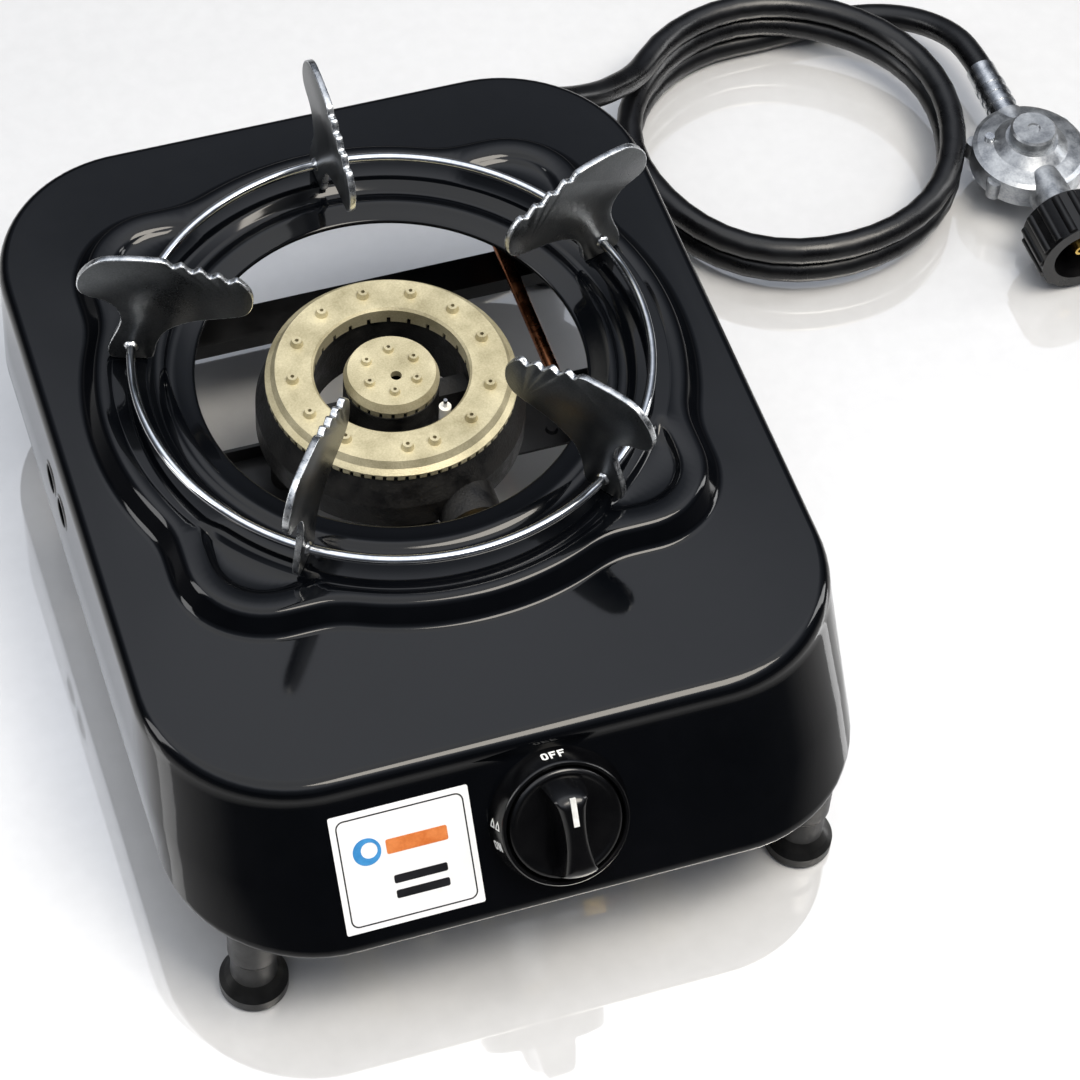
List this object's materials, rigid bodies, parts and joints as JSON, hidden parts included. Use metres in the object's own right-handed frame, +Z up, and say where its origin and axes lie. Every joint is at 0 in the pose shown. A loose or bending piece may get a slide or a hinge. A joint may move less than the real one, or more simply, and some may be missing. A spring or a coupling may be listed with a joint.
{
  "type": "camping gas stove",
  "caption": "Low enamelled table stove with a ring burner, lift-off wire pan support, push-and-turn knob, rubber feet and a coiled gas hose with regulator.",
  "frame": {"origin": "middle of the stove's footprint box (hose kit left out), on the surface it stands on", "axes": "+X to the stove's right, +Y from the knob to the back, +Z up"},
  "size_m": [0.505, 0.4615, 0.1751],
  "materials": {
    "enamel": "gloss black enamel",
    "black_steel": "satin black paint",
    "zinc_yellow": "yellow passivated zinc",
    "screw_steel": "bright zinc",
    "cast_iron": "grainy black",
    "tube_brass": "pressed",
    "brass": "turned",
    "cap_brass": "sandblasted",
    "porcelain": "glazed",
    "bare_steel": "bare",
    "white_plastic": "moulded",
    "red_silicone": "soft",
    "die_cast": "die cast zinc alloy",
    "spring_steel": "drawn",
    "knob_plastic": "gloss black",
    "white_mark": "printed",
    "copper": "copper tube",
    "chrome_wire": "bright plated",
    "arm_steel": "hammered grey with bright edges",
    "foot_rubber": "satin",
    "label_film": "white film",
    "ferrule_steel": "crimped",
    "hose_rubber": "smooth",
    "wheel_plastic": "ribbed black"
  },
  "bodies": {
    "stove": {"housing": "enamel", "burner_bar": "black_steel", "rear_strip": "black_steel", "valve_bracket": "zinc_yellow", "bracket_screws": "screw_steel", "burner_body": "cast_iron", "burner_screws": "screw_steel", "mixing_tube_outer": "tube_brass", "mixing_tube_inner": "tube_brass", "injectors": "brass", "electrode_ceramic": "porcelain", "electrode_wire": "bare_steel", "electrode_bracket": "bare_steel", "igniter": "white_plastic", "igniter_cable": "red_silicone", "valve_body": "die_cast", "valve_gland": "brass", "bezel": "knob_plastic", "gas_pipe": "copper", "pipe_nuts": "brass", "inlet_elbow": "brass", "inlet_nut": "brass", "foot_front_left": "foot_rubber", "foot_front_right": "foot_rubber", "foot_back_left": "foot_rubber", "foot_back_right": "foot_rubber", "foot_screws": "screw_steel", "label": "label_film", "flare_nut": "zinc_yellow", "inlet_ferrule": "ferrule_steel", "hose_lead": "hose_rubber", "hose_coil": "hose_rubber", "hose_tail": "hose_rubber", "regulator_ferrule": "ferrule_steel", "regulator_body": "die_cast", "regulator_cover": "die_cast", "regulator_cap": "die_cast", "vent_screw": "screw_steel", "tank_nipple": "brass"},
    "outer_shutter": {"air_shutter_outer": "zinc_yellow"},
    "inner_shutter": {"air_shutter_inner": "zinc_yellow"},
    "outer_cap": {"outer_burner_cap": "cap_brass"},
    "inner_cap": {"inner_burner_cap": "cap_brass"},
    "plug": {"valve_plug": "brass", "stem_spring": "spring_steel"},
    "knob": {"valve_stem": "bare_steel", "knob": "knob_plastic", "knob_line": "white_mark"},
    "pan_support": {"pan_ring": "chrome_wire", "pan_arm_1": "arm_steel", "pan_arm_2": "arm_steel", "pan_arm_3": "arm_steel", "pan_arm_4": "arm_steel", "pan_arm_5": "arm_steel"},
    "wheel": {"hand_wheel": "wheel_plastic"}
  },
  "joints": [
    {"name": "knob_turn", "type": "hinge", "parent": "stove", "child": "plug", "pos_m": [0.006, -0.17169, 0.076], "axis": [0, -0.8178, 0.5755], "range_deg": [0, 180]},
    {"name": "knob_push", "type": "slide", "parent": "plug", "child": "knob", "axis": [0, 0.8178, -0.5755], "range_m": [0, 0.003], "stiffness_N_per_m": 1500, "springref_m": -0.002},
    {"name": "outer_shutter_turn", "type": "hinge", "parent": "stove", "child": "outer_shutter", "pos_m": [0.016, -0.1035, 0.081], "axis": [0, 1, 0], "range_deg": [-45, 45]},
    {"name": "inner_shutter_turn", "type": "hinge", "parent": "stove", "child": "inner_shutter", "pos_m": [-0.006, -0.1035, 0.066], "axis": [0, 1, 0], "range_deg": [-45, 45]},
    {"name": "outer_cap_lift", "type": "slide", "parent": "stove", "child": "outer_cap", "axis": [0, 0, 1], "range_m": [0, 0.03]},
    {"name": "inner_cap_lift", "type": "slide", "parent": "stove", "child": "inner_cap", "axis": [0, 0, 1], "range_m": [0, 0.03]},
    {"name": "pan_support_lift", "type": "slide", "parent": "stove", "child": "pan_support", "axis": [0, 0, 1], "range_m": [0, 0.06]},
    {"name": "hand_wheel_turn", "type": "hinge", "parent": "stove", "child": "wheel", "pos_m": [0.339, 0.0925, 0.022], "axis": [0, -1, 0], "continuous": true}
  ]
}
